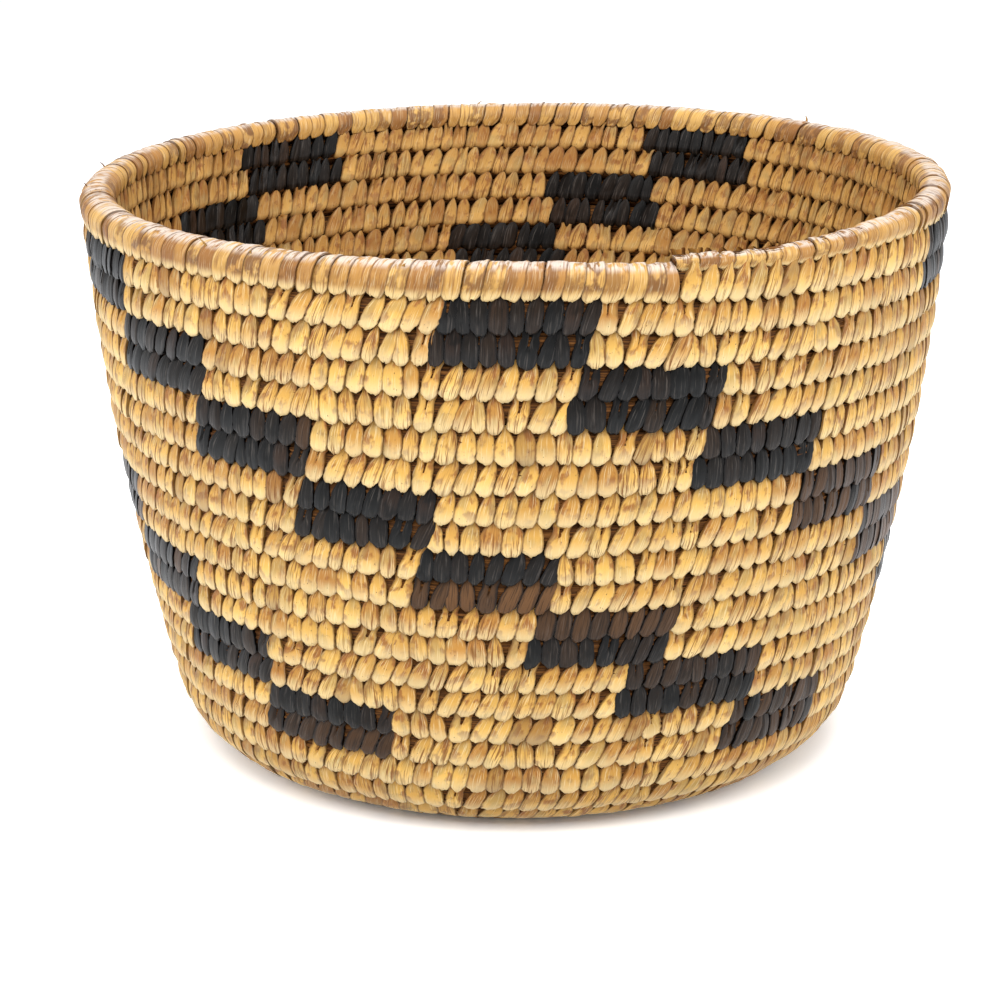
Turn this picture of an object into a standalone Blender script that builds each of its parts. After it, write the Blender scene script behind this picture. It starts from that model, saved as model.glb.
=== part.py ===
# Coiled basket: a deep round bowl, sewn from one long coil of bundled grass.
# Light splints wrap the coil, and runs of black splints make five lines of steps round the wall.
# Metres and degrees, +Z up, origin on the floor under the middle of the base.
# Angles run anticlockwise seen from above, from the side that faces -Y.

import math

import bmesh
import bpy
from mathutils import Vector, kdtree

# The bowl, over the outside of the coil. It is round at the rim and a little oval at the foot.
# The oval and the tilt go along X and along Y: how far the foot reaches past its radius, and how much
# higher the rim stands at +X than at -X and at +Y than at -Y.
RIM_RADIUS = 0.127
HEIGHT = 0.1745
FOOT_RADIUS = 0.070
CORNER_RADIUS = 0.031
WALL_BULGE = 0.0031
FOOT_OVAL = (0.0035, -0.00175)
RIM_TILT = (0.0028, 0.0020)

# The coil, from its tapered end at the rim down to its start under the knot
ROW_HEIGHT_RIM = 0.0085
ROW_HEIGHT_MIDDLE = 0.0087
ROW_HEIGHT_FOOT = 0.0080
START_RADIUS = 0.0085
END_ANGLE = 19.0
TAPER_ANGLE = 75.0
END_SHARE = 0.3
LEVEL_TURNS = 8.0
ROW_SWAY = 0.2
SWAY_FADE_TURNS = 4.0
EDGE_ROWS = 1.0
FLAT_DEPTH = 0.0006

# How the rows near the rim drop by one row past the coil's end: angle from the end, and share of a row
DROP_STEPS = ((-15.0, 0.0), (0.0, 0.33), (15.0, 0.65), (30.0, 0.71), (45.0, 0.80), (75.0, 1.0))

# The black runs: for each line of steps, where its first step stands and how wide its steps are
LINES = ((74.0, 16.3), (148.5, 16.5), (219.2, 15.9), (292.9, 15.8), (360.0, 16.3))
STEPS_IN_LINE = 8
ROWS_IN_STEP = 2
SPLINT_THICKNESS = 0.0006
CLEARANCE = 0.0003
BASE_GAP = 0.0005

# The start knot: its outline stops short of the coil's blunt start, and its faces are domed
KNOT_STEP_BACK = 2
KNOT_STEP_SHARE = 0.8
KNOT_DOME = ((0.5, -1.0), (0.85, -0.8), (1.0, -0.4), (1.0, 0.4), (0.85, 0.8), (0.5, 1.0))

# How finely the coil is drawn
STATIONS = 24
TUBE_SIDES = 6

STRAW = (0.57, 0.36, 0.13, 1.0)
BROWN_STRAW = (0.42, 0.24, 0.09, 1.0)
BLACK_SPLINT = (0.022, 0.020, 0.021, 1.0)

# Rows stand far enough apart for a black splint to pass between them, clear of both
ROW_GAP = SPLINT_THICKNESS + 2 * CLEARANCE
FLAT_TO_CORNER = 1 / math.cos(math.pi / TUBE_SIDES)
TAPER_TURNS = TAPER_ANGLE / 360
DIP_TURNS = -DROP_STEPS[0][0] / 360


def drop_after(angle):
    """The share of a row that the rows near the rim have dropped, this far past the coil's end."""
    for (first, above), (last, below) in zip(DROP_STEPS, DROP_STEPS[1:]):
        if angle < last:
            return above + (below - above) * max(0.0, (angle - first) / (last - first))
    return 1.0


def mean_drop():
    """How many rows the coil has dropped at a turn, on average, less than it has made turns."""
    missing = 0.0
    for (first, above), (last, below) in zip(DROP_STEPS, DROP_STEPS[1:]):
        missing += (last - first) / 360 * (1 - (above + below) / 2)
    return 0.5 - DIP_TURNS + missing


MEAN_DROP = mean_drop()


def tube_radius(row_height, gap):
    """Corner radius of a six-sided coil whose flat sides leave a gap to the rows beside it."""
    return (row_height - gap) / 2 * FLAT_TO_CORNER


def bowl_profile():
    """The coil's path in section: a flat base, a corner arc and a long wall arc, tangent to each other."""
    base_tube = tube_radius(ROW_HEIGHT_FOOT, BASE_GAP)
    rim_tube = tube_radius(ROW_HEIGHT_RIM, ROW_GAP)
    base_height = base_tube - FLAT_DEPTH
    corner = CORNER_RADIUS - base_tube
    top = Vector((RIM_RADIUS - rim_tube, HEIGHT - rim_tube / FLAT_TO_CORNER))
    corner_centre = Vector((FOOT_RADIUS, base_height + corner))
    slope = math.pi / 2
    for _ in range(40):
        wall_foot = corner_centre + corner * Vector((math.sin(slope), -math.cos(slope)))
        chord = top - wall_foot
        half_turn = 2 * math.atan(2 * WALL_BULGE / chord.length)
        slope = math.atan2(chord.y, chord.x) - half_turn
    wall = chord.length / 2 / math.sin(half_turn)
    return {
        "base_height": base_height,
        "corner": corner,
        "corner_centre": corner_centre,
        "wall": wall,
        "wall_centre": wall_foot + wall * Vector((-math.sin(slope), math.cos(slope))),
        "corner_slope": slope,
        "top_slope": slope + 2 * half_turn,
    }


BOWL = bowl_profile()
WALL_LENGTH = BOWL["wall"] * (BOWL["top_slope"] - BOWL["corner_slope"])
SIDE_LENGTH = WALL_LENGTH + BOWL["corner"] * BOWL["corner_slope"]
SIDE_ROWS = 6 * SIDE_LENGTH / (ROW_HEIGHT_RIM + 4 * ROW_HEIGHT_MIDDLE + ROW_HEIGHT_FOOT)
WALL_TURNS = SIDE_ROWS - EDGE_ROWS + MEAN_DROP
BASE_ROWS = (FOOT_RADIUS - START_RADIUS) / ROW_HEIGHT_FOOT
WALL_STATION = int(WALL_TURNS * STATIONS)
START_STATION = int((SIDE_ROWS + BASE_ROWS + MEAN_DROP) * STATIONS)


def run_middle(line, step):
    """How many turns before the coil's end a black run has its middle, in its upper row."""
    first_angle, step_angle = line
    return 1 + (first_angle + step * step_angle - END_ANGLE) / 360 + step * ROWS_IN_STEP


LAST_RUN_TURN = run_middle(LINES[-1], STEPS_IN_LINE - 1) + ROWS_IN_STEP - 1 + LINES[-1][1] / 360


def profile_at(distance):
    """Radius, height and slope of the coil's path, this far down it from the middle of the rim row."""
    if distance < WALL_LENGTH:
        slope = BOWL["top_slope"] - distance / BOWL["wall"]
        place = BOWL["wall_centre"] + BOWL["wall"] * Vector((math.sin(slope), -math.cos(slope)))
    elif distance < SIDE_LENGTH:
        slope = (SIDE_LENGTH - distance) / BOWL["corner"]
        place = BOWL["corner_centre"] + BOWL["corner"] * Vector((math.sin(slope), -math.cos(slope)))
    else:
        slope = 0.0
        place = Vector((FOOT_RADIUS - (distance - SIDE_LENGTH), BOWL["base_height"]))
    return place.x, place.y, slope


def distance_down(rows):
    """How far down the bowl's side so many rows reach.

    Row height goes smoothly from the rim's over the middle's to the foot's, and stays so to the middle
    of the base. The three terms are a parabola through the three heights, summed over the rows.
    """
    if rows > SIDE_ROWS:
        return SIDE_LENGTH + ROW_HEIGHT_FOOT * (rows - SIDE_ROWS)
    share = rows / SIDE_ROWS
    side = ROW_HEIGHT_RIM * (share - 1.5 * share**2 + 2 * share**3 / 3)
    side += ROW_HEIGHT_MIDDLE * (2 * share**2 - 4 * share**3 / 3)
    side += ROW_HEIGHT_FOOT * (2 * share**3 / 3 - share**2 / 2)
    return side * SIDE_ROWS


def rows_down(turn):
    """How many rows below the rim row the coil lies, this many turns before its end.

    Near the rim it runs level, dips a little before its tapered end and drops a whole row under it.
    Lower down it drops steadily, but sways a little: higher on one side and lower on the other.
    """
    lap = math.floor(turn + DIP_TURNS)
    level = lap - 1 + drop_after(360 * (turn - lap))
    fade = min(1.0, max(0.0, (WALL_TURNS - turn) / SWAY_FADE_TURNS))
    steady = turn - MEAN_DROP + ROW_SWAY * fade * math.sin(math.radians(END_ANGLE + 360 * turn))
    blend = min(1.0, turn / LEVEL_TURNS)
    return level + (steady - level) * blend


def coil_centre(station):
    """The middle of the coil at a station, and the slope of the bowl's side there."""
    turn = station / STATIONS
    rows = rows_down(turn)
    if turn < TAPER_TURNS:
        share = END_SHARE + (1 - END_SHARE) * turn / TAPER_TURNS
        rows += (1 - share) / 2
    radius, height, slope = profile_at(distance_down(rows))
    angle = math.radians(END_ANGLE + 360 * turn)
    across = radius * math.sin(angle) * (1 + FOOT_OVAL[0] / FOOT_RADIUS * (1 - height / HEIGHT))
    back = -radius * math.cos(angle) * (1 + FOOT_OVAL[1] / FOOT_RADIUS * (1 - height / HEIGHT))
    height *= 1 + (RIM_TILT[0] * across + RIM_TILT[1] * back) / (2 * RIM_RADIUS * HEIGHT)
    return Vector((across, back, height)), slope


def gap_below(turn):
    """Gap under a row: room for black splints as far down as they go, and narrow under that."""
    share = min(1.0, max(0.0, turn - LAST_RUN_TURN))
    return ROW_GAP + (BASE_GAP - ROW_GAP) * share


def shared_radius(station):
    """Corner radius that leaves the row gap between the coil at a station and an equal row below it.

    Where the bowl's side turns, the flat sides lean towards each other and meet first at a corner.
    """
    above, slope_above = coil_centre(station)
    below, slope_below = coil_centre(station + STATIONS)
    half_turn = abs(slope_above - slope_below) / 2
    reach = 2 * math.cos(half_turn) / FLAT_TO_CORNER + math.sin(half_turn)
    return ((above - below).length - gap_below(station / STATIONS)) / reach


def coil_radius(station):
    """Corner radius of the coil, as thick as the rows above and below leave room for."""
    if station < TAPER_TURNS * STATIONS:
        spacing = (coil_centre(station)[0] - coil_centre(station + STATIONS)[0]).length
        below = coil_radius(station + STATIONS) / FLAT_TO_CORNER
        return (spacing - ROW_GAP - below) * FLAT_TO_CORNER
    radii = []
    if station + STATIONS <= START_STATION:
        radii.append(shared_radius(station))
    if station >= (1 + TAPER_TURNS) * STATIONS:
        radii.append(shared_radius(station - STATIONS))
    return min(radii)


def coil_ring(station, grown):
    """The corners of the coil's section at a station, with its flat sides moved out by grown."""
    before = coil_centre(station - 1)[0] if station else coil_centre(0)[0]
    centre, slope = coil_centre(station)
    after = coil_centre(station + 1)[0]
    along = (after - centre).normalized()
    if station:
        along = (along + (centre - before).normalized()).normalized()
    outward = along.cross(Vector((0, 0, 1))).normalized()
    upward = outward.cross(along)
    radius = coil_radius(station) + grown * FLAT_TO_CORNER
    lean = math.pi / 2 - slope
    corners = []
    for side in range(TUBE_SIDES):
        angle = 2 * math.pi * side / TUBE_SIDES - lean
        corners.append(centre + radius * (math.cos(angle) * outward + math.sin(angle) * upward))
    return corners


def coil_section(turn, grown):
    """The same section anywhere along the coil, which runs straight between its stations."""
    station = math.floor(turn * STATIONS)
    share = turn * STATIONS - station
    near = coil_ring(station, grown)
    far = coil_ring(station + 1, grown)
    return [a.lerp(b, share) for a, b in zip(near, far)]


def material(name, colour, roughness):
    """A plain Principled finish."""
    finish = bpy.data.materials.new(name)
    finish.use_nodes = True
    shader = finish.node_tree.nodes["Principled BSDF"]
    shader.inputs["Base Color"].default_value = colour
    shader.inputs["Roughness"].default_value = roughness
    shader.inputs["Metallic"].default_value = 0.0
    finish.diffuse_color = colour
    return finish


def add_object(name, data, finish, collection):
    """A new object with one finish."""
    piece = bpy.data.objects.new(name, data)
    data.materials.append(finish)
    collection.objects.link(piece)
    return piece


def coil_tube(name, points, finish, collection):
    """One unbroken six-sided tube through points of centre, radius and slope."""
    thickest = max(radius for _, radius, _ in points)
    curve = bpy.data.curves.new(name, "CURVE")
    curve.dimensions = "3D"
    curve.twist_mode = "Z_UP"
    curve.bevel_depth = thickest
    curve.bevel_resolution = 1
    curve.use_fill_caps = True
    spline = curve.splines.new("POLY")
    spline.points.add(len(points) - 1)
    for point, (centre, radius, slope) in zip(spline.points, points):
        point.co = (*centre, 1)
        point.radius = radius / thickest
        point.tilt = math.pi / 2 - slope
    return add_object(name, curve, finish, collection)


def coil_points(first, last):
    """The coil's centre, radius and slope at each station from first to last."""
    points = []
    for station in range(first, last + 1):
        centre, slope = coil_centre(station)
        points.append((centre, coil_radius(station), slope))
    return points


def parting_points():
    """Where the wall's coil ends and the base's begins, a clearance apart on one straight stretch."""
    upper, lower = coil_points(WALL_STATION, WALL_STATION + 1)
    length = (lower[0] - upper[0]).length
    places = []
    for share in (0.5 - CLEARANCE / 2 / length, 0.5 + CLEARANCE / 2 / length):
        centre = upper[0].lerp(lower[0], share)
        radius = upper[1] + (lower[1] - upper[1]) * share
        places.append((centre, radius, upper[2] + (lower[2] - upper[2]) * share))
    return places


def to_mesh(tube, collection):
    """Turns a tube into a mesh with its caps welded on, so that it can be cut."""
    graph = bpy.context.evaluated_depsgraph_get()
    mesh = bpy.data.meshes.new_from_object(tube.evaluated_get(graph))
    mesh.name = tube.name
    shape = bmesh.new()
    shape.from_mesh(mesh)
    bmesh.ops.remove_doubles(shape, verts=shape.verts, dist=0.000001)
    shape.to_mesh(mesh)
    shape.free()
    name = tube.name
    place = tube.matrix_world.copy()
    bpy.data.objects.remove(tube)
    piece = bpy.data.objects.new(name, mesh)
    piece.matrix_world = place
    collection.objects.link(piece)
    return piece


def cut_flat(piece, cutters):
    """Cuts a piece off level with the floor."""
    side = 4 * RIM_RADIUS
    bpy.ops.mesh.primitive_cube_add(size=side, location=(0, 0, -side / 2))
    cutter = bpy.context.object
    cutter.name = piece.name + "_floor_cut"
    for home in list(cutter.users_collection):
        home.objects.unlink(cutter)
    cutters.objects.link(cutter)
    cutter.hide_render = True
    cutter.display_type = "WIRE"
    cut = piece.modifiers.new("floor", "BOOLEAN")
    cut.operation = "DIFFERENCE"
    cut.solver = "EXACT"
    cut.object = cutter


def start_knot(finish, collection):
    """The knotted start of the bundle, a squat button that fills the middle of the spiral."""
    outline = []
    for station in range(START_STATION - STATIONS + KNOT_STEP_BACK, START_STATION + 1):
        centre = coil_centre(station)[0].xy
        flat = coil_radius(station) / FLAT_TO_CORNER
        outline.append(centre.normalized() * (centre.length - flat - CLEARANCE))
    outline[-1] *= KNOT_STEP_SHARE
    middle = sum(outline, Vector((0, 0))) / len(outline)
    half_height = BOWL["base_height"] - CLEARANCE
    shape = bmesh.new()
    rings = []
    for spread, rise in KNOT_DOME:
        height = BOWL["base_height"] + rise * half_height
        rings.append([shape.verts.new((*middle.lerp(point, spread), height)) for point in outline])
    for lower, upper in zip(rings, rings[1:]):
        for here, beside in zip(range(len(outline)), [*range(1, len(outline)), 0]):
            shape.faces.new((lower[here], lower[beside], upper[beside], upper[here]))
    shape.faces.new(rings[0][::-1])
    shape.faces.new(rings[-1])
    bmesh.ops.recalc_face_normals(shape, faces=shape.faces)
    mesh = bpy.data.meshes.new("start_knot")
    shape.to_mesh(mesh)
    shape.free()
    return add_object("start_knot", mesh, finish, collection)


def sleeve_section(turn):
    """Section of a black run: one skin round two rows, with a bore for each.

    Outline points come first, upper row and then lower row, and the two bores after them.
    """
    skin = CLEARANCE + SPLINT_THICKNESS
    upper = coil_section(turn, skin)
    lower = coil_section(turn + 1, skin)
    upper_centre = sum(upper, Vector()) / TUBE_SIDES
    lower_centre = sum(lower, Vector()) / TUBE_SIDES
    reach = (upper_centre - lower_centre).length / 2
    creases = []
    for upper_side, upper_foot, lower_side, lower_head in ((3, 4, 3, 2), (0, 5, 0, 1)):
        flat = (upper[upper_side] - upper_centre).length / FLAT_TO_CORNER
        from_above = upper[upper_side].lerp(upper[upper_foot], reach / flat)
        flat = (lower[lower_side] - lower_centre).length / FLAT_TO_CORNER
        from_below = lower[lower_side].lerp(lower[lower_head], reach / flat)
        creases.append((from_above + from_below) / 2)
    outline = upper[:4] + creases + [lower[0], lower[3], lower[4], lower[5]]
    return outline + coil_section(turn, CLEARANCE) + coil_section(turn + 1, CLEARANCE)


# Points of a sleeve's section, by their place in the list that sleeve_section returns
UPPER_OUTLINE = (0, 1, 2, 3, 4, 5)
LOWER_OUTLINE = (6, 5, 4, 7, 8, 9)
OUTLINE = (0, 1, 2, 3, 4, 7, 8, 9, 6, 5)
UPPER_BORE = (10, 11, 12, 13, 14, 15)
LOWER_BORE = (16, 17, 18, 19, 20, 21)


def black_run(name, line, step, finish, collection):
    """A run of black splints that wraps two rows, clear of the next step beside it."""
    middle = run_middle(line, step)
    circumference = 2 * math.pi * coil_centre(round(middle * STATIONS))[0].xy.length
    half_length = (line[1] / 360 - CLEARANCE / circumference) / 2
    first = middle - half_length
    last = middle + half_length
    turns = [first]
    stations = range(math.ceil(first * STATIONS), math.ceil(last * STATIONS))
    turns += [station / STATIONS for station in stations]
    turns.append(last)
    shape = bmesh.new()
    sections = [[shape.verts.new(point) for point in sleeve_section(turn)] for turn in turns]
    for near, far in zip(sections, sections[1:]):
        for loop, outside in ((OUTLINE, True), (UPPER_BORE, False), (LOWER_BORE, False)):
            for here, beside in zip(loop, loop[1:] + loop[:1]):
                quad = [near[here], near[beside], far[beside], far[here]]
                shape.faces.new(quad if outside else quad[::-1])
    for section, is_first in ((sections[0], True), (sections[-1], False)):
        for outline, bore in ((UPPER_OUTLINE, UPPER_BORE), (LOWER_OUTLINE, LOWER_BORE)):
            for side in range(TUBE_SIDES):
                beside = (side + 1) % TUBE_SIDES
                places = (outline[side], bore[side], bore[beside], outline[beside])
                quad = [section[place] for place in places]
                shape.faces.new(quad if is_first else quad[::-1])
    bmesh.ops.recalc_face_normals(shape, faces=shape.faces)
    mesh = bpy.data.meshes.new(name)
    shape.to_mesh(mesh)
    shape.free()
    return add_object(name, mesh, finish, collection)


def print_least_gap(name, points):
    """Measures how near a coil's rows come to each other, on the corners of its sections."""
    corners = []
    for station in points:
        corners += [(station, corner) for corner in coil_ring(station, 0.0)]
    tree = kdtree.KDTree(len(corners))
    for index, (_, corner) in enumerate(corners):
        tree.insert(corner, index)
    tree.balance()
    least = math.inf
    for station, corner in corners:
        for _, index, distance in tree.find_range(corner, 2 * ROW_GAP):
            if abs(corners[index][0] - station) > STATIONS / 2:
                least = min(least, distance)
    print(f"{name}: least gap between its rows {least * 1000:.2f} mm")


def build():
    """Makes every piece of the basket."""
    for piece in list(bpy.data.objects):
        bpy.data.objects.remove(piece)
    basket = bpy.data.collections.new("coiled_basket")
    cutters = bpy.data.collections.new("cutters")
    bpy.context.scene.collection.children.link(basket)
    bpy.context.scene.collection.children.link(cutters)

    straw = material("light_splint_coil", STRAW, 0.6)
    brown = material("base_coil_straw", BROWN_STRAW, 0.65)
    knot = material("start_knot_straw", BROWN_STRAW, 0.7)
    black = material("black_splint", BLACK_SPLINT, 0.5)

    wall_foot, base_head = parting_points()
    coil_tube("wall_coil", coil_points(0, WALL_STATION) + [wall_foot], straw, basket)
    base_points = [base_head] + coil_points(WALL_STATION + 1, START_STATION)
    base = coil_tube("base_coil", base_points, brown, basket)
    cut_flat(to_mesh(base, basket), cutters)
    start_knot(knot, basket)

    for number, line in enumerate(LINES, 1):
        for step in range(STEPS_IN_LINE):
            black_run(f"black_run_line{number}_step{step + 1}", line, step, black, basket)

    print_least_gap("wall_coil", range(WALL_STATION + 1))
    print_least_gap("base_coil", range(WALL_STATION + 1, START_STATION + 1))


build()
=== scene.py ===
import math
import random
from bisect import bisect_left, bisect_right
from collections import namedtuple

import bmesh
import bpy
import numpy as np
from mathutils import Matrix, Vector


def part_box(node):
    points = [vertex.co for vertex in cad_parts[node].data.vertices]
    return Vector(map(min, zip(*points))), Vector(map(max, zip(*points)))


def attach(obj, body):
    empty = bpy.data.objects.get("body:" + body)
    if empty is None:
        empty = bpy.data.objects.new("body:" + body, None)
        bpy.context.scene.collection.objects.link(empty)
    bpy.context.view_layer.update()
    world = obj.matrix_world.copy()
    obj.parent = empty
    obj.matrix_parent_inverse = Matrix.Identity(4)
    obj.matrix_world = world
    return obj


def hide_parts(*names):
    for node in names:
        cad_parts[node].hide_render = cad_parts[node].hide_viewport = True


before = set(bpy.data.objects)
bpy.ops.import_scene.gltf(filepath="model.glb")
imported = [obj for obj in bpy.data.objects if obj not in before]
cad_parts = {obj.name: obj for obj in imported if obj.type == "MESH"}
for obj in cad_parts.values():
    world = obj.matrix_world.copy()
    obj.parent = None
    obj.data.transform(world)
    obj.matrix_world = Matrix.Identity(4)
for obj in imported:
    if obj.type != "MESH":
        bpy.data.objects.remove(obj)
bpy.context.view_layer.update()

# Grass bundle.
# One long bundle of dried grass stems, wound in a coil from the middle of the base to the rim.
# The stitches hide it nearly everywhere; brown stems show between their pointed tops.

# The bowl, over the outside of the coil: round at the rim, and a little oval at the foot
RIM_RADIUS = 0.127
HEIGHT = 0.1745
FOOT_RADIUS = 0.070
CORNER_RADIUS = 0.031
WALL_BULGE = 0.0031
FOOT_OVAL = (0.0035, -0.00175)
RIM_TILT = (0.0028, 0.0020)
RIM_LIFT = 0.0005
SLOPE_ROUNDS = 40

# The coil, from its tapered end at the rim down to its start under the knot
ROW_HEIGHT_RIM = 0.0085
ROW_HEIGHT_MIDDLE = 0.0087
ROW_HEIGHT_FOOT = 0.0080
RIM_ROW_HEIGHT = 0.0083
RIM_HALF_WALL = 0.00485
FOOT_HALF_WALL = 0.0043
BASE_HALF_WALL = 0.00383
START_RADIUS = 0.0085
END_ANGLE = 19.0
TAPER_ANGLE = 75.0
END_SHARE = 0.36
END_WALL = 0.35
END_SINK = 0.0012
# How the rows near the rim drop by one row past the coil's end: angle from the end, and share of a row
DROP_STEPS = ((-15.0, 0.0), (0.0, 0.33), (15.0, 0.65), (30.0, 0.71), (45.0, 0.80), (75.0, 1.0))
LEVEL_TURNS = 8.0
ROW_SWAY = 0.2
SWAY_FADE_TURNS = 4.0

# The stems on the bundle's skin, how they wander round it, and how much of a row's height it fills
STEMS_AROUND = 16
STEM_DEPTH = 0.00045
STEM_WANDER = (9, 40)
BUNDLE_SINK = 0.0011
BUNDLE_FILL = 0.96
RIM_FILL = 0.84
RIM_FILL_TURNS = 1.03
BUNDLE_STEPS = 84
SEAM = 0.00001

TAPER_TURNS = TAPER_ANGLE / 360
DIP_TURNS = -DROP_STEPS[0][0] / 360
DROP_TURNS = [DIP_TURNS + angle / 360 for angle, _ in DROP_STEPS]
DROP_ROWS = [rows for _, rows in DROP_STEPS]
MEAN_DROP = 1.5 - DIP_TURNS - (np.trapz(DROP_ROWS, DROP_TURNS) + 1 - DROP_TURNS[-1])


def bowl_profile():
    """The coil's path in section: a flat base, a corner arc and a long wall arc, tangent to each other."""
    corner = CORNER_RADIUS - FOOT_HALF_WALL
    top = Vector((RIM_RADIUS - RIM_HALF_WALL, HEIGHT - ROW_HEIGHT_RIM / 2 + RIM_LIFT))
    corner_centre = Vector((FOOT_RADIUS, BASE_HALF_WALL + corner))
    slope = math.pi / 2
    for _ in range(SLOPE_ROUNDS):
        wall_foot = corner_centre + corner * Vector((math.sin(slope), -math.cos(slope)))
        chord = top - wall_foot
        half_turn = 2 * math.atan(2 * WALL_BULGE / chord.length)
        slope = math.atan2(chord.y, chord.x) - half_turn
    wall = chord.length / 2 / math.sin(half_turn)
    wall_centre = wall_foot + wall * Vector((-math.sin(slope), math.cos(slope)))
    return corner, corner_centre, wall, wall_centre, slope, slope + 2 * half_turn


CORNER_ARC, CORNER_CENTRE, WALL_ARC, WALL_CENTRE, FOOT_SLOPE, TOP_SLOPE = bowl_profile()
WALL_LENGTH = WALL_ARC * (TOP_SLOPE - FOOT_SLOPE)
SIDE_LENGTH = WALL_LENGTH + CORNER_ARC * FOOT_SLOPE
SIDE_ROWS = 6 * SIDE_LENGTH / (ROW_HEIGHT_RIM + 4 * ROW_HEIGHT_MIDDLE + ROW_HEIGHT_FOOT)
BASE_ROWS = (FOOT_RADIUS - START_RADIUS) / ROW_HEIGHT_FOOT
WALL_TURNS = SIDE_ROWS - 1 + MEAN_DROP
ALL_TURNS = SIDE_ROWS + BASE_ROWS + MEAN_DROP


def profile_at(down):
    """Radius, height and slope of the coil's path, this far down the bowl's side from the rim row."""
    slope = np.where(down < WALL_LENGTH, TOP_SLOPE - down / WALL_ARC, (SIDE_LENGTH - down) / CORNER_ARC)
    slope = np.maximum(slope, 0.0)
    arc = np.where(down < WALL_LENGTH, WALL_ARC, CORNER_ARC)
    middle_x = np.where(down < WALL_LENGTH, WALL_CENTRE.x, CORNER_CENTRE.x)
    middle_z = np.where(down < WALL_LENGTH, WALL_CENTRE.y, CORNER_CENTRE.y)
    radius = middle_x + arc * np.sin(slope) - np.maximum(down - SIDE_LENGTH, 0.0)
    return radius, middle_z - arc * np.cos(slope), slope


def distance_down(rows):
    """How far down the side so many rows reach, as their height goes from rim to middle to foot."""
    share = np.minimum(rows / SIDE_ROWS, 1.0)
    side = ROW_HEIGHT_RIM * (share - 1.5 * share**2 + 2 * share**3 / 3)
    side = side + ROW_HEIGHT_MIDDLE * (2 * share**2 - 4 * share**3 / 3)
    side = side + ROW_HEIGHT_FOOT * (2 * share**3 / 3 - share**2 / 2)
    return side * SIDE_ROWS + ROW_HEIGHT_FOOT * np.maximum(rows - SIDE_ROWS, 0.0)


def rows_down(turn):
    """How many rows below the rim row the coil lies, this many turns before its end."""
    lap = np.floor(turn + DIP_TURNS)
    level = lap - 1 + np.interp(turn + DIP_TURNS - lap, DROP_TURNS, DROP_ROWS)
    fade = np.clip((WALL_TURNS - turn) / SWAY_FADE_TURNS, 0.0, 1.0)
    steady = turn - MEAN_DROP + ROW_SWAY * fade * np.sin(np.radians(END_ANGLE + 360 * turn))
    return level + (steady - level) * np.clip(turn / LEVEL_TURNS, 0.0, 1.0)


def taper_share(turn):
    """The share of its full thickness that the coil has near its tapered end."""
    return END_SHARE + (1 - END_SHARE) * np.clip(turn / TAPER_TURNS, 0.0, 1.0)


def row_edges(turn):
    """How far down the side a row's upper and lower edges are."""
    rows = rows_down(turn)
    lower = distance_down((rows + rows_down(turn + 1)) / 2)
    lower = lower + END_SINK * np.clip(1 - 2 * turn / TAPER_TURNS, 0.0, 1.0)
    upper = distance_down((rows + rows_down(turn - 1)) / 2)
    return np.where(turn < 1, lower - RIM_ROW_HEIGHT * taper_share(turn), upper), lower


def half_wall(turn, down, outside):
    """Half of the wall's thickness, on its outer or inner side."""
    last = BASE_HALF_WALL if outside else FOOT_HALF_WALL
    full = np.interp(down, (0.0, WALL_LENGTH, SIDE_LENGTH), (RIM_HALF_WALL, FOOT_HALF_WALL, last))
    return full * (END_WALL + (1 - END_WALL) * taper_share(turn))


def on_bowl(turn, down, out):
    """Points on the bowl, from turns before the coil's end, distance down the side and distance out."""
    radius, height, slope = profile_at(down)
    angle = np.radians(END_ANGLE + 360 * turn)
    reach = radius + out * np.sin(slope)
    height = height - out * np.cos(slope)
    across = reach * np.sin(angle) * (1 + FOOT_OVAL[0] / FOOT_RADIUS * (1 - height / HEIGHT))
    back = -reach * np.cos(angle) * (1 + FOOT_OVAL[1] / FOOT_RADIUS * (1 - height / HEIGHT))
    tilt = 1 + (RIM_TILT[0] * across + RIM_TILT[1] * back) / (2 * RIM_RADIUS * HEIGHT)
    return np.stack((across, back, height * tilt), axis=-1)


def linear(hex_colour):
    """A six-digit sRGB colour as linear red, green, blue and alpha."""
    parts = [int(hex_colour[at : at + 2], 16) / 255 for at in (0, 2, 4)]
    return [p / 12.92 if p <= 0.04045 else ((p + 0.055) / 1.055) ** 2.4 for p in parts] + [1.0]


def add_node(material, kind, settings=(), stops=(), **links):
    """Adds a node with its settings, the stops of its colour ramp, and its inputs set or linked.

    An input is given by its name, or by the letter i and its number where others share its name.
    """
    node = material.node_tree.nodes.new(kind)
    for name, value in dict(settings).items():
        setattr(node, name, value)
    while stops and len(node.color_ramp.elements) < len(stops):
        node.color_ramp.elements.new(1.0)
    for number, (place, hex_colour) in enumerate(stops):
        node.color_ramp.elements[number].position = place
        node.color_ramp.elements[number].color = linear(hex_colour)
    for name, value in links.items():
        key = int(name[1:]) if name[1:].isdigit() else name.replace("_", " ")
        if isinstance(value, bpy.types.NodeSocket):
            material.node_tree.links.new(value, node.inputs[key])
        else:
            node.inputs[key].default_value = value
    return node


def new_material(name):
    """A material with only its shader and output."""
    material = bpy.data.materials.new(name)
    material.use_nodes = True
    return material, material.node_tree.nodes["Principled BSDF"]


def add_piece(name, shape, material, slot, *nodes):
    """Finishes a mesh as a piece of the basket that stands for CAD nodes."""
    mesh = bpy.data.meshes.new(name)
    shape.to_mesh(mesh)
    shape.free()
    mesh.materials.append(material)
    mesh.shade_smooth()
    piece = bpy.data.objects.new(name, mesh)
    bpy.context.scene.collection.objects.link(piece)
    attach(piece, "root")
    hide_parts(*nodes)
    return piece


LINES_ON_STEM = 4
LINES_IN_TURN = 60


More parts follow.
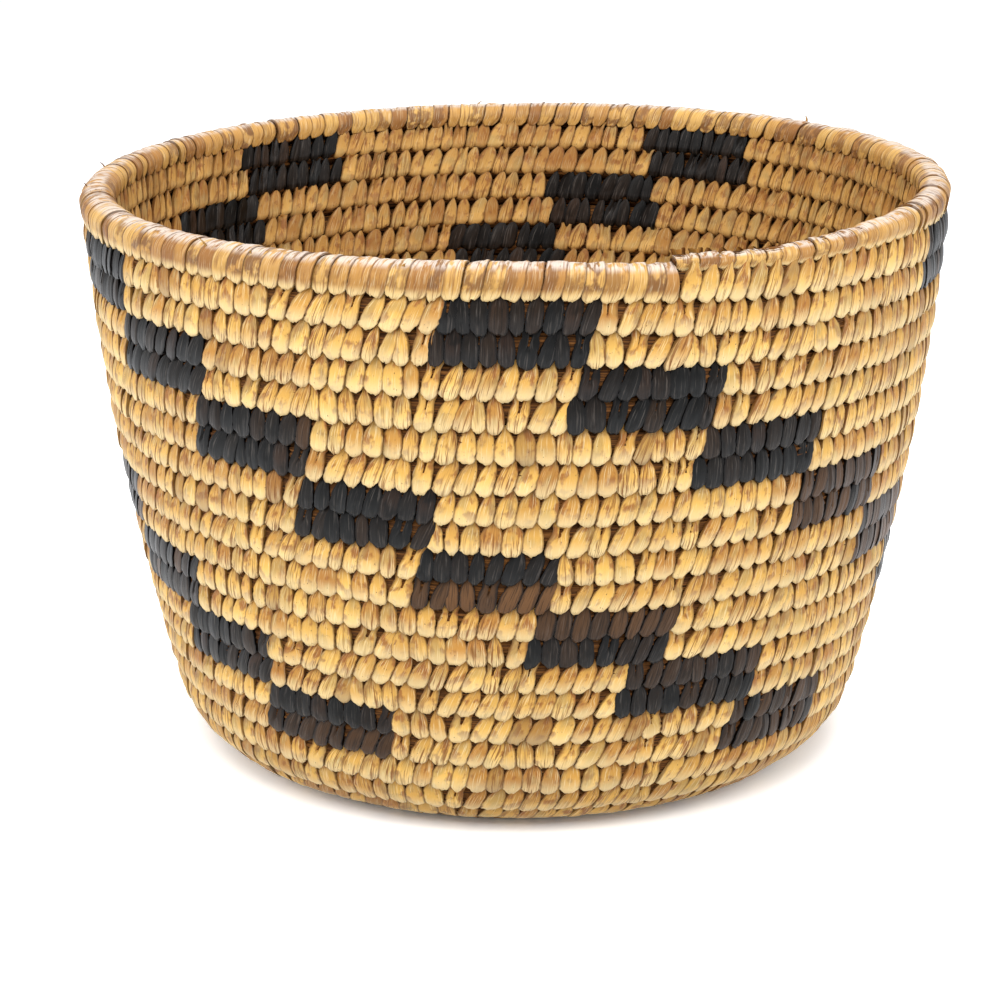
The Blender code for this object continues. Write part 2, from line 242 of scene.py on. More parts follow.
def stem_material():
    """Dried grass stems: dull orange-brown, darkened for painted shade in the gaps, with four fine lines
    along each, a dozen millimetres long.
    """
    material, shader = new_material("dried_grass_stems")
    place = add_node(material, "ShaderNodeTexCoord").outputs["UV"]
    lines = add_node(material, "ShaderNodeTexNoise", Vector=place, Scale=1.0, Detail=3.0)
    # The dark stops are partly painted shade of the gaps between the stitches.
    stops = ((0.3, "24150A"), (0.5, "523216"), (0.62, "7F5226"), (0.75, "3F2610"))
    colour = add_node(material, "ShaderNodeValToRGB", stops=stops, Fac=lines.outputs["Fac"])
    material.node_tree.links.new(colour.outputs["Color"], shader.inputs["Base Color"])
    shader.inputs["Roughness"].default_value = 0.8
    shader.inputs["Specular IOR Level"].default_value = 0.15
    return material


def bundle(name, first, last, steps, slot, node):
    """A stretch of the bundle, from a flat grid rolled into a ribbed tube along the coil."""
    shape = bmesh.new()
    around = 2 * STEMS_AROUND
    bmesh.ops.create_grid(shape, x_segments=steps, y_segments=around, size=1.0)
    flat = np.array([vert.co for vert in shape.verts])
    turn = first + (last - first) * (flat[:, 0] + 1) / 2
    side = np.pi * flat[:, 1]
    upper, lower = row_edges(turn)
    wander, wanders = STEM_WANDER
    rib = STEM_DEPTH * np.cos(side * STEMS_AROUND + wander * np.sin(wanders * turn))
    share = np.where((turn < RIM_FILL_TURNS) & (side < 0), RIM_FILL, BUNDLE_FILL)
    down = (upper + lower) / 2 + ((lower - upper) / 2 * share + rib) * np.sin(side)
    thick = half_wall(turn, down, True) - BUNDLE_SINK
    places = on_bowl(turn, down, (thick + rib) * np.cos(side))
    layer = shape.loops.layers.uv.new("stems")
    for vert, place in zip(shape.verts, places):
        vert.co = place
    shape.verts.index_update()
    for face in shape.faces:
        for loop in face.loops:
            at = loop.vert.index
            across = (flat[at, 1] + 1) / 2 * STEMS_AROUND * LINES_ON_STEM
            loop[layer].uv = (turn[at] * LINES_IN_TURN, across)
    bmesh.ops.remove_doubles(shape, verts=shape.verts, dist=SEAM)
    ends = [edge for edge in shape.edges if edge.is_boundary]
    bmesh.ops.holes_fill(shape, edges=ends, sides=0)
    bmesh.ops.recalc_face_normals(shape, faces=shape.faces)
    return add_piece(name, shape, STEMS, slot, node)


STEMS = stem_material()
WALL_BUNDLE_TURNS = (0.0, 7.0, 14.0, WALL_TURNS)
for part, (first, last) in enumerate(zip(WALL_BUNDLE_TURNS, WALL_BUNDLE_TURNS[1:])):
    steps = round((last - first) * BUNDLE_STEPS)
    bundle(f"wall_grass_bundle_{part + 1}", first, last, steps, "straw_coil", "wall_coil")
steps = round((ALL_TURNS - WALL_TURNS) * BUNDLE_STEPS / 2)
bundle("base_grass_bundle", WALL_TURNS, ALL_TURNS, steps, "base_straw", "base_coil")

# Light stitches.
# Split strips of pale leaf, sewn round the bundle side by side, each through the row below it.
# Each shows as a leaf, with a pointed top between the ends above it and a blunt end below.

# Spacing along the coil, how far a stretch is laid out at a time, and where the sewing starts
LIGHT_PITCH = 0.0049
BLACK_PITCH = 0.0045
WIDTH_SPREAD = 0.09
STRETCH_TURNS = 0.5
START_TURNS = 0.02

# The black runs that they leave room for: for each line of steps, where its first step stands and how
# wide its steps are, in degrees
RUN_LINES = ((74.0, 16.3), (148.5, 16.5), (219.2, 15.9), (292.9, 15.8), (360.0, 16.3))
STEPS_IN_LINE = 8
ROWS_IN_STEP = 2
# How wide a run is in these rows, how far back its lower row lies, and how far both ends of three runs
# (line and step, from 0) are moved on, in degrees
RUN_ROWS = (1.0, 11.0, 17.0)
RUN_ANGLES = (18.3, 18.6, 22.5)
LOWER_ROW_SHIFT = 1.0
RUN_SHIFTS = {(2, 6): (-1.2, -3.0), (3, 6): (-1.8, -0.6), (3, 7): (1.4, 0.4)}

# Where a stitch's top goes, as shares of its width: how far it leans over and how far off a gap may be
LEAN = 0.42
LEAN_SPREAD = 0.06
TOP_REACH = 0.85
TIP_SPACING = 0.26
ABOVE_TURNS = 0.03
OUTER_WIDTHS = (0.96, 1.04)
OUTER_LIFT = 0.00006
INNER_LEAN = -0.5
INNER_LEAN_SPREAD = 0.12
INNER_FORK = 0.3
INNER_FORKED = 0.8
INNER_WIDTHS = (0.93, 1.08)
INNER_LIFT = 0.0001

# Half widths down a stitch, as shares of its width: outside, inside and black
LEAF = (
    (0.0, 0.17, 0.25, 0.34, 0.45, 0.6, 0.84, 0.93, 1.0),
    (0.14, 0.23, 0.34, 0.42, 0.47, 0.495, 0.49, 0.455, 0.37),
)
INNER_LEAF = ((0.0, 0.08, 0.2, 0.35, 0.55, 0.8, 1.0), (0.10, 0.23, 0.37, 0.46, 0.51, 0.51, 0.45))
BLACK_LEAF = (
    (0.0, 0.17, 0.28, 0.4, 0.55, 0.8, 0.92, 1.0),
    (0.16, 0.28, 0.41, 0.47, 0.495, 0.495, 0.455, 0.36),
)

# Where a stitch runs, as shares of its row's height: its top tucks under the row above and its end
# laps the row below, and an inner one sits a little higher
TUCK = 0.13
LAP = 0.075
INNER_LAP = -0.02
INNER_RISE = 0.17
PROUDEST = 0.8
BEND_CURVE = 1.3

# How deep it goes: at its top and at its end, outside and inside; at its folded edges; and its crown
OUTER_DEPTHS = (0.0015, 0.0003)
INNER_DEPTHS = (0.0004, 0.0014)
EDGE_FOLD = 0.0008
END_FOLD = 0.0012
CROWN = 0.0001
SKIN = 0.0001
FOOT_LEVEL = 0.4
LEAST_HEIGHT = 0.0001

# How a split top opens, as shares of its width and of its length
PRONG_HALF = 0.12
PRONG_LENGTH = 0.9
FORK_HALF = 0.20
FORK_SPREAD = (0.4, 1.0)
FORK_REACH = 0.55
FORK_DEPTH = 0.0012
FORK_CURVE = 0.8
FORK_QUICK = 3
FORK_CROWDING = 1.4

# How unevenly the splints were split, pulled and cut: their outline and tops as shares of their width,
# and in metres their cut corners, ends and ragged fibres, their curl and tilt, their ridges and lift
OUTLINE_SPREAD = 0.035
TOP_SPREAD = (-0.3, 0.6)
CORNER_CUT = (0.0002, 0.0013)
CORNER_FROM = 0.4
END_FROM = 0.75
END_SPREAD = 0.0002
RAGGED_SPREAD = 0.00013
CURL = -0.00002
CURL_SPREAD = 0.00013
CURL_LEVEL = 0.4
TILT_SPREAD = 0.00014
RIDGE_SPREAD = 0.00005
LIFT_SPREAD = 0.00008

draw = random.Random(7)
rough = np.random.default_rng(11)


def run_rows(line, step):
    """The two stretches of coil that a black run covers, as first and last turn."""
    first_angle, step_angle = RUN_LINES[line]
    middle = 1 + (first_angle + step * step_angle - END_ANGLE) / 360 + step * ROWS_IN_STEP
    left, right = RUN_SHIFTS.get((line, step), (0.0, 0.0))
    rows = []
    for row in range(ROWS_IN_STEP):
        centre = middle + row * (1 - LOWER_ROW_SHIFT / 360)
        half = np.interp(centre, RUN_ROWS, RUN_ANGLES) / 720
        rows.append((centre - half + left / 360, centre + half + right / 360))
    return rows


def lay_out_stitches():
    """Goes down the whole coil and gives each stitch its lower end, its width and its run, if black."""
    stretches = []
    for line in range(len(RUN_LINES)):
        for step in range(STEPS_IN_LINE):
            stretches += [(a, b, (line, step)) for a, b in run_rows(line, step)]
    stretches.sort()
    filled = []
    at = 0.0
    for first, last, run in stretches + [(ALL_TURNS - START_TURNS, ALL_TURNS, None)]:
        filled.append((at, first, None))
        if run:
            filled.append((first, last, run))
        at = last
    stitches = []
    for first, last, run in filled:
        at = first
        while at < last - 1e-9:
            piece_end = min(last, at + STRETCH_TURNS)
            radius = float(profile_at(row_edges((at + piece_end) / 2)[1])[0])
            pitch = BLACK_PITCH if run else LIGHT_PITCH
            count = max(1, round((piece_end - at) * 2 * math.pi * radius / pitch))
            widths = [1 + draw.gauss(0, WIDTH_SPREAD) for _ in range(count)]
            share = (piece_end - at) / sum(widths)
            for width in widths:
                stitches.append((at + width * share / 2, width * share, run))
                at += width * share
            at = piece_end
    return stitches


STITCHES = lay_out_stitches()
ENDS = [end for end, _, _ in STITCHES]
Strip = namedtuple("Strip", "mesh long side length side_fold end_fold column middle")


def make_strip(name, columns, rows, long, two_ended=False):
    """A flat strip to copy for each splint, so long, with the place of each corner across and along it.

    Its outer columns and its last row fold down, which gives the splint its thickness.
    """
    shape = bmesh.new()
    bmesh.ops.create_grid(shape, x_segments=columns, y_segments=rows, size=1.0)
    edge = 1 - 2 / columns
    for line in shape.edges:
        line.smooth = any(abs(abs(vert.co.x) - edge) > 0.01 for vert in line.verts)
    mesh = bpy.data.meshes.new(name)
    shape.to_mesh(mesh)
    shape.free()
    across, back = np.array([vert.co[:2] for vert in mesh.vertices]).T
    share = (1 - back) / 2
    head = 1 / rows if two_ended else 0.0
    length = np.clip((share - head) / (1 - head - 1 / rows), 0, 1)
    end_fold = np.clip(1 - (1 - share) * rows, 0, 1)
    if two_ended:
        end_fold = end_fold + np.clip(1 - share * rows, 0, 1)
    side_fold = np.clip((np.abs(across) - edge) / (1 - edge), 0, 1)
    column = np.round((across + 1) * columns / 2).astype(int)
    middle = np.abs(across) * columns < 1.5
    return Strip(mesh, long, np.clip(across / edge, -1, 1), length, side_fold, end_fold, column, middle)


OUTER_STRIP = make_strip("outer_splint", 11, 13, ROW_HEIGHT_RIM)
INNER_STRIP = make_strip("inner_splint", 7, 9, ROW_HEIGHT_RIM)


def bend_stitches(strip, leaves, outside, outline):
    """Places of every corner of every leaf, from its two tops, lower end, width and depth."""
    lefts, rights, ends, widths, depths = (np.array(values)[:, None] for values in zip(*leaves))
    side, length = strip.side, strip.length
    each = (len(leaves), 1)
    columns = (len(leaves), strip.column.max() + 1)
    forked = rights > lefts
    fork = np.clip(1 - length / FORK_REACH, 0, 1)
    opening = fork**FORK_CURVE
    opened = forked * np.minimum(opening * FORK_QUICK, 1)
    uneven_outline = 1 + rough.normal(0.0, OUTLINE_SPREAD, (len(leaves), side.size))
    half = np.interp(length, *outline) * widths * uneven_outline
    half = half * (1 + rough.uniform(*TOP_SPREAD, each) * (1 - length) ** 3)
    prong = (rights - lefts) / 2 * opening + PRONG_HALF * widths * (length < PRONG_LENGTH)
    notch = FORK_HALF * widths * rough.uniform(*FORK_SPREAD, each) * fork
    outer_edge = np.where(forked, np.maximum(half, prong), half)
    inner_edge = np.where(forked, notch, 0.0)
    crowding = 1 + FORK_CROWDING * opened
    centre = ends + ((lefts + rights) / 2 - ends) * (1 - length) ** BEND_CURVE
    turn = centre + np.sign(side) * (inner_edge + np.abs(side) ** crowding * (outer_edge - inner_edge))
    upper, lower = row_edges(centre)
    lap, rise = (LAP, 0.0) if outside else (INNER_LAP, INNER_RISE)
    fall = -TUCK + (1 + TUCK + lap) * length
    near_end = np.clip((length - END_FROM) / (1 - END_FROM), 0, 1)
    corner = np.where(side < 0, rough.uniform(*CORNER_CUT, each), rough.uniform(*CORNER_CUT, each))
    uneven = rough.normal(0.0, END_SPREAD, each) * side + rough.normal(0.0, END_SPREAD, each)
    uneven = uneven - corner * np.clip((np.abs(side) - CORNER_FROM) / (1 - CORNER_FROM), 0, 1)
    ragged = rough.normal(0.0, RAGGED_SPREAD, columns)[:, strip.column] * (length > 0.99)
    down = upper + (lower - upper) * (fall - rise) + near_end * uneven + ragged
    above = np.clip((PROUDEST - fall) / PROUDEST, 0, None)
    below = np.clip((fall - PROUDEST) / (1 + lap - PROUDEST), 0, None)
    top_depth, end_depth = OUTER_DEPTHS if outside else INNER_DEPTHS
    depth = depths + top_depth * above**2 + end_depth * below**2 + END_FOLD * strip.end_fold
    depth = depth + EDGE_FOLD * strip.side_fold + CROWN * side**4
    depth = depth + FORK_DEPTH * strip.middle * opened
    curl = rough.normal(CURL, CURL_SPREAD, each) * (side**2 - CURL_LEVEL)
    tilt = rough.normal(0.0, TILT_SPREAD, each) * side
    ridges = rough.normal(0.0, RIDGE_SPREAD, columns)[:, strip.column]
    lift = rough.normal(0.0, LIFT_SPREAD, each)
    level = 1 - FOOT_LEVEL * np.clip((down - WALL_LENGTH) / (SIDE_LENGTH - WALL_LENGTH), 0, 1)
    out = half_wall(centre, down, outside) - (depth - curl - tilt - ridges - lift) * level - SKIN
    places = on_bowl(turn, down, out if outside else -out)
    places[..., 2] = np.maximum(places[..., 2], LEAST_HEIGHT)
    return places


# A stitch's dark edge, dirt and painted shade in the seam, starts at this share of its half width,
# and each splint's grain starts at a place of its own, up to so many millimetres away across and along it
EDGE_FROM = 0.7
GRAIN_SHIFTS = (40, 300)


def sew(name, strip, places, tones, ages, material, slot, *nodes):
    """Copies the strip once for each stitch and moves its corners to their places."""
    shape = bmesh.new()
    for _ in range(len(places)):
        shape.from_mesh(strip.mesh)
    piece = add_piece(name, shape, material, slot, *nodes)
    mesh = piece.data
    mesh.vertices.foreach_set("co", places.reshape(-1).astype(np.float32))
    values = {
        "tone": np.repeat(tones, len(strip.side)),
        "age": np.repeat(ages, len(strip.side)),
        "grain": np.repeat(rough.random(len(places)), len(strip.side)),
        "fall": np.tile(strip.length, len(places)),
        "edge": np.tile(np.clip((np.abs(strip.side) - EDGE_FROM) / (1 - EDGE_FROM), 0, 1), len(places)),
    }
    for key, value in values.items():
        mesh.attributes.new(key, "FLOAT", "POINT").data.foreach_set("value", value.astype(np.float32))
    corners = np.empty(len(mesh.loops), int)
    mesh.loops.foreach_get("vertex_index", corners)
    across = np.tile(strip.side * 1000 * LIGHT_PITCH / 2, len(places)) + GRAIN_SHIFTS[0] * values["tone"]
    along = np.tile(strip.length * 1000 * strip.long, len(places)) + GRAIN_SHIFTS[1] * values["tone"]
    grain = np.stack((across, along), -1)[corners]
    mesh.uv_layers.new(name="splint").data.foreach_set("uv", grain.reshape(-1).astype(np.float32))
    mesh.update()
    return piece


def leaves_of(stitches):
    """Left and right top, end, width and depth of the outer leaves of some stitches.

    Tops show only in the gaps between the ends above. A stitch beside a gap that has no top yet is
    split, and its second prong goes there.
    """
    leaves = []
    for end, width, _ in stitches:
        wanted = end + (LEAN + draw.gauss(0, LEAN_SPREAD)) * width
        first = bisect_left(ENDS, end - 1 - ABOVE_TURNS)
        last = bisect_right(ENDS, end - 1 + ABOVE_TURNS)
        above = [end_above + 1 for end_above in ENDS[first:last]]
        gaps = [(a + b) / 2 for a, b in zip(above, above[1:])]
        near = [gap for gap in gaps if abs(gap - wanted) < TOP_REACH * width]
        near.sort(key=lambda gap: abs(gap - wanted))
        leaves.append((near[:1] or [wanted], near[1:2], end, width))
    taken = {tips[0] for tips, _, _, _ in leaves}
    tips_in_gap = {}
    for tips, spare, end, width in leaves:
        if spare and spare[0] not in taken:
            tips.append(spare[0])
            tips.sort()
            taken.add(spare[0])
        for number, tip in enumerate(tips):
            tips_in_gap.setdefault(tip, []).append((end, width, tips, number))
    for group in tips_in_gap.values():
        for place, (_, width, tips, number) in enumerate(sorted(group, key=lambda tip: tip[0])):
            tips[number] += (place - (len(group) - 1) / 2) * TIP_SPACING * width
    return [
        (tips[0], tips[-1], end, width * draw.uniform(*OUTER_WIDTHS), draw.gauss(0, OUTER_LIFT))
        for tips, _, end, width in leaves
    ]


def inner_leaves_of(stitches):
    """The same for the inner face, where each splint comes out half a stitch further on."""
    leaves = []
    for end, width, _ in stitches:
        out = end + 0.5 * width
        top = out + (INNER_LEAN + draw.gauss(0, INNER_LEAN_SPREAD)) * width
        fork = INNER_FORK * width if draw.random() > INNER_FORKED else 0.0
        wide = width * draw.uniform(*INNER_WIDTHS)
        leaves.append((top - fork, top + fork, out, wide, draw.gauss(0, INNER_LIFT)))
    return leaves


def stretched_noise(material, place, across, along, detail):
    """Noise with so many features a millimetre across the splint and along it."""
    scaled = add_node(material, "ShaderNodeMapping", Vector=place, Scale=(across, along, 1.0))
    noise = add_node(
        material, "ShaderNodeTexNoise", Vector=scaled.outputs["Vector"], Scale=1.0, Detail=detail
    )
    return noise.outputs["Fac"]


COLOUR_MIX = {"data_type": "RGBA", "blend_type": "MIX"}
SMOOTH_STEP = {"interpolation_type": "SMOOTHSTEP"}
PRODUCT = {"operation": "MULTIPLY"}


def lay_colours(material, colour, *layers):
    """Lays colours one over another.

    A layer is a colour and its steps. A step goes smoothly from 0 to most while its value goes from
    low to high, and the layer covers as much as the product of its steps.
    """
    for hex_colour, *steps in layers:
        covers = []
        for value, low, high, most in steps:
            step = {"Value": value, "i1": low, "i2": high, "i4": most}
            covers.append(add_node(material, "ShaderNodeMapRange", SMOOTH_STEP, **step).outputs[0])
        cover = covers[0]
        for other in covers[1:]:
            cover = add_node(material, "ShaderNodeMath", PRODUCT, i0=cover, i1=other).outputs[0]
        over = linear(hex_colour)
        colour = add_node(material, "ShaderNodeMix", COLOUR_MIX, i0=cover, i6=colour, i7=over).outputs[2]
    return colour


FIBRE_RIDGE = 0.0002


def finish_splint(material, shader, colour, fibre, ridges, roughness, sheen):
    """Gives a splint its colour, the fine ridges of its fibres and its dull or waxy surface."""
    bump = add_node(material, "ShaderNodeBump", Strength=ridges, Distance=FIBRE_RIDGE, Height=fibre)
    material.node_tree.links.new(colour, shader.inputs["Base Color"])
    material.node_tree.links.new(bump.outputs["Normal"], shader.inputs["Normal"])
    shader.inputs["Roughness"].default_value = roughness
    shader.inputs["Specular IOR Level"].default_value = sheen
    return material


# The places of a splint's six possible colours, and the size of browner patches over several of them
TONE_PLACES = (0.0, 0.12, 0.4, 0.75, 0.93, 1.0)
PATCH_SIZE = 0.020


def light_splint_material(name, straw, end_colour, end_share):
    """Sun-dried leaf strips: golden straw, paler towards the end, brown fibres and specks, painted shade on
    the tucked top, and dirt with painted shade in the seams.
    """
    material, shader = new_material(name)
    tone, age, grain, fall, edge = (
        add_node(material, "ShaderNodeAttribute", {"attribute_name": name}).outputs["Fac"]
        for name in ("tone", "age", "grain", "fall", "edge")
    )
    place = add_node(material, "ShaderNodeTexCoord").outputs["UV"]
    fibre = stretched_noise(material, place, 3.2, 0.2, 2.0)  # 0.3 mm wide and 5 mm long
    streak = stretched_noise(material, place, 1.5, 0.11, 2.0)  # 0.7 mm by 9 mm
    blotch = stretched_noise(material, place, 0.35, 0.3, 3.0)  # 3 mm by 3 mm
    speck = stretched_noise(material, place, 2.2, 1.2, 1.0)  # 0.5 mm by 0.8 mm
    stain = stretched_noise(material, place, 0.16, 0.12, 2.0)  # 6 mm by 8 mm
    whole = add_node(material, "ShaderNodeTexCoord").outputs["Object"]
    patch = add_node(material, "ShaderNodeTexNoise", Vector=whole, Scale=1 / PATCH_SIZE, Detail=2.0)
    patch = patch.outputs["Fac"]
    coarse = add_node(material, "ShaderNodeMapRange", SMOOTH_STEP, Value=grain, i1=0.3, i2=0.9, i4=0.9)
    coarse = coarse.outputs[0]
    colour = add_node(material, "ShaderNodeValToRGB", stops=list(zip(TONE_PLACES, straw)), Fac=tone)
    colour = lay_colours(
        material,
        colour.outputs["Color"],
        ("A87A3A", (fall, 0.6, 0.15, 0.55)),  # painted shade on the dull top, tucked under the row above
        ("A8743A", (patch, 0.5, 0.66, 0.5)),  # browner patches, several stitches wide
        ("925A28", (blotch, 0.5, 0.64, 0.9)),  # rust-brown stains
        ("A98E58", (stain, 0.5, 0.66, 0.6)),  # a greyer splint here and there
        (end_colour, (fall, 0.45, 0.95, end_share)),  # paler towards the lower end
        ("FFF0C0", (fibre, 0.46, 0.3, 0.6 * end_share)),  # pale fibres
        ("7E4F22", (streak, 0.54, 0.66, coarse)),  # broad brown fibres, in coarse splints
        ("7A4B20", (fibre, 0.54, 0.7, coarse)),  # fine brown fibres
        ("4A2E16", (speck, 0.71, 0.77, 0.8)),  # dark specks
        ("583410", (edge, 0.3, 1.0, 0.7)),  # darker seams: dirt, and painted shade between the splints
    )
    # The age attribute browns a splint; near the foot it also carries painted shade.
    aged = add_node(material, "ShaderNodeMix", COLOUR_MIX, i0=age, i6=colour, i7=linear("6E431D"))
    return finish_splint(material, shader, aged.outputs[2], fibre, 0.6, 0.55, 0.25)


LIGHT_SPLINT = light_splint_material(
    "sun_dried_leaf_splint", ("B07834", "CE9A47", "E3B258", "EBBC60", "D8A44E", "B07434"), "FFE6AE", 0.7
)
# The inside's copy is darker and less pale at the ends: painted shade inside the bowl.
INNER_SPLINT = light_splint_material(
    "shaded_leaf_splint", ("A46C2E", "C08A42", "CF9C50", "D6A658", "C49048", "9C662C"), "EEC57E", 0.4
)

# How brown the splints are: how much more at the foot, which is painted shade, how much they differ, and a
# few old ones
FOOT_SHADE = 0.3
FOOT_SHADE_TURNS = (WALL_TURNS - 3, WALL_TURNS + 1)
AGE_SPREAD = 0.12
INNER_AGE_SPREAD = 0.2
OLD_AGE = 0.45
OLD_FROM = 0.97

for row in range(1, math.ceil(ENDS[-1])):
    stitches = [stitch for stitch in STITCHES if row <= stitch[0] < row + 1 and not stitch[2]]
    slot, node = ("straw_coil", "wall_coil") if row < WALL_TURNS else ("base_straw", "base_coil")
    # Painted shade: the rows near the foot are browner.
    foot_shade = float(np.interp(row, FOOT_SHADE_TURNS, (0.0, FOOT_SHADE)))
    name = f"light_stitches_outside_row_{row + 1:02d}"
    places = bend_stitches(OUTER_STRIP, leaves_of(stitches), True, LEAF)
    tones = rough.random(len(places))
    ages = foot_shade + AGE_SPREAD * rough.random(len(places))
    ages = ages + OLD_AGE * (rough.random(len(places)) > OLD_FROM)
    sew(name, OUTER_STRIP, places, tones, ages, LIGHT_SPLINT, slot, node)
    name = f"light_stitches_inside_row_{row + 1:02d}"
    places = bend_stitches(INNER_STRIP, inner_leaves_of(stitches), False, INNER_LEAF)
    tones = rough.random(len(places))
    ages = INNER_AGE_SPREAD * rough.random(len(places))
    sew(name, INNER_STRIP, places, tones, ages, INNER_SPLINT, slot, node)

# Black stitches.
# Strips of black seed-pod skin, sewn in runs of nine or ten in place of the light ones.
# Each run covers two rows and starts where the run above it ends.


def black_splint_material():
    """Seed-pod skin: charcoal black with a faint sheen, brown where worn or thin; its lower end and fibres
    carry painted highlights, its seams painted shade.
    """
    material, shader = new_material("black_pod_splint")
    tone, age, fall, edge = (
        add_node(material, "ShaderNodeAttribute", {"attribute_name": name}).outputs["Fac"]
        for name in ("tone", "age", "fall", "edge")
    )
    place = add_node(material, "ShaderNodeTexCoord").outputs["UV"]
    fibre = stretched_noise(material, place, 2.4, 0.15, 3.0)  # 0.4 mm wide and 7 mm long
    blotch = stretched_noise(material, place, 0.4, 0.25, 2.0)  # 2.5 mm by 4 mm
    stops = ((0.0, "040404"), (0.6, "0C0C0C"), (0.85, "17120E"), (1.0, "2A1C14"))
    colour = add_node(material, "ShaderNodeValToRGB", stops=stops, Fac=tone)
    colour = lay_colours(
        material,
        colour.outputs["Color"],
        ("2A2B2C", (fall, 0.4, 0.9, 0.5)),  # painted highlight, lighter grey towards the lower end
        ("504B47", (fibre, 0.54, 0.7, 0.7)),  # grey fibres, partly a painted highlight
        ("050505", (blotch, 0.48, 0.68, 0.8)),  # dense black blotches
    )
    aged = add_node(material, "ShaderNodeMix", COLOUR_MIX, i0=age, i6=colour, i7=linear("6A4A2E"))
    colour = lay_colours(
        material,
        aged.outputs[2],
        ("080706", (fibre, 0.5, 0.36, 0.6)),  # black lines between the fibres
        ("050404", (edge, 0.0, 0.9, 0.9)),  # black seams: painted shade between the splints
    )
    return finish_splint(material, shader, colour, fibre, 0.4, 0.36, 0.13)


BLACK_SPLINT = black_splint_material()

# How brown the black splints are: in these rows (line, step and row, from 0), how much they differ and
# how much more in brown rows, and in a few single ones
BROWN_ROWS = {
    (2, 7, 1): 0.2, (3, 4, 1): 0.75, (3, 5, 0): 0.5, (3, 6, 0): 0.12, (3, 7, 0): 0.25, (3, 7, 1): 0.2,
    (4, 3, 0): 0.35, (4, 3, 1): 0.4, (4, 4, 0): 0.3, (4, 4, 1): 0.45,
}
BROWN_SPREAD = (0.06, 0.25)
BROWN_SPLINT = 0.35
BROWN_FROM = 0.96
INNER_BROWN = 0.1

for line in range(len(RUN_LINES)):
    for step in range(STEPS_IN_LINE):
        run = f"line{line + 1}_step{step + 1}"
        stitches = [stitch for stitch in STITCHES if stitch[2] == (line, step)]
        outer = leaves_of(stitches)
        inner = inner_leaves_of(stitches)
        second_row = np.mean([stitch[0] for stitch in stitches])
        ages = []
        for leaf in outer:
            worn = BROWN_ROWS.get((line, step, int(leaf[1] > second_row)), 0.0)
            age = max(0.0, worn + draw.gauss(0, BROWN_SPREAD[0] + BROWN_SPREAD[1] * worn))
            ages.append(age + BROWN_SPLINT * (draw.random() > BROWN_FROM))
        name = f"black_stitches_outside_{run}"
        places = bend_stitches(OUTER_STRIP, outer, True, BLACK_LEAF)
        tones = rough.random(len(places))
        ages = np.array(ages)
        sew(name, OUTER_STRIP, places, tones, ages, BLACK_SPLINT, "black_splint", f"black_run_{run}")
        name = f"black_stitches_inside_{run}"
        places = bend_stitches(INNER_STRIP, inner, False, INNER_LEAF)
        tones = rough.random(len(places))
        ages = tones * INNER_BROWN
        sew(name, INNER_STRIP, places, tones, ages, BLACK_SPLINT, "black_splint", f"black_run_{run}")

# Rim stitches.
# On the last turn of the coil there is no row above, so each splint shows all the way over the top.
# Hands have worn the crest grey and stained the side under it brown; the ends stay bright.

# How far a wrap laps the row below, between which shares of its length it turns over the rim, and how
# far it is pulled in outside and inside
WRAP_LAP = 0.09
WRAP_TURN = (0.27, 0.73)
WRAP_PULL = (0.10, 0.12)
WRAP_OUTLINE = ((0.0, 0.03, 0.07, 0.13, 0.8, 0.9, 1.0), (0.31, 0.41, 0.475, 0.515, 0.515, 0.45, 0.24))
WRAP_STRIP = make_strip("rim_splint", 9, 30, 3 * ROW_HEIGHT_RIM, two_ended=True)

# How deep their folded edges, folded ends and crown go, and how unevenly they lie
WRAP_EDGE_FOLD = 0.0006
WRAP_END_FOLD = 0.0011
WRAP_CROWN = 0.00008
WRAP_OUTLINE_SPREAD = 0.02
WRAP_LEAN_SPREAD = 0.045
WRAP_TILT_SPREAD = 0.00016
WRAP_CURL_SPREAD = 0.0001
WRAP_LIFT_SPREAD = 0.0001
WRAP_RIDGE_SPREAD = 0.00006
WRAP_RAGGED_SPREAD = 0.0002
WRAP_END_SPREAD = 0.0003
WRAP_CORNER_CUT = 0.0003
WRAP_END_SHARE = 1 / 12


def wrap_path(share):
    """Down and out along a wrap from outside to inside, as shares of the coil's half height and wall."""
    first, last = WRAP_TURN
    outer = np.clip(1 - share / first, 0, 1) * (1 + 2 * WRAP_LAP)
    inner = np.clip((share - last) / (1 - last), 0, 1) * (1 + WRAP_LAP - 2 * INNER_RISE)
    turn = np.clip((share - first) / (last - first), 0, 1) * np.pi
    down = outer + inner - np.sin(turn)
    out = np.cos(turn) * (1 - WRAP_PULL[0] * outer**2 - WRAP_PULL[1] * inner**2)
    return down, out


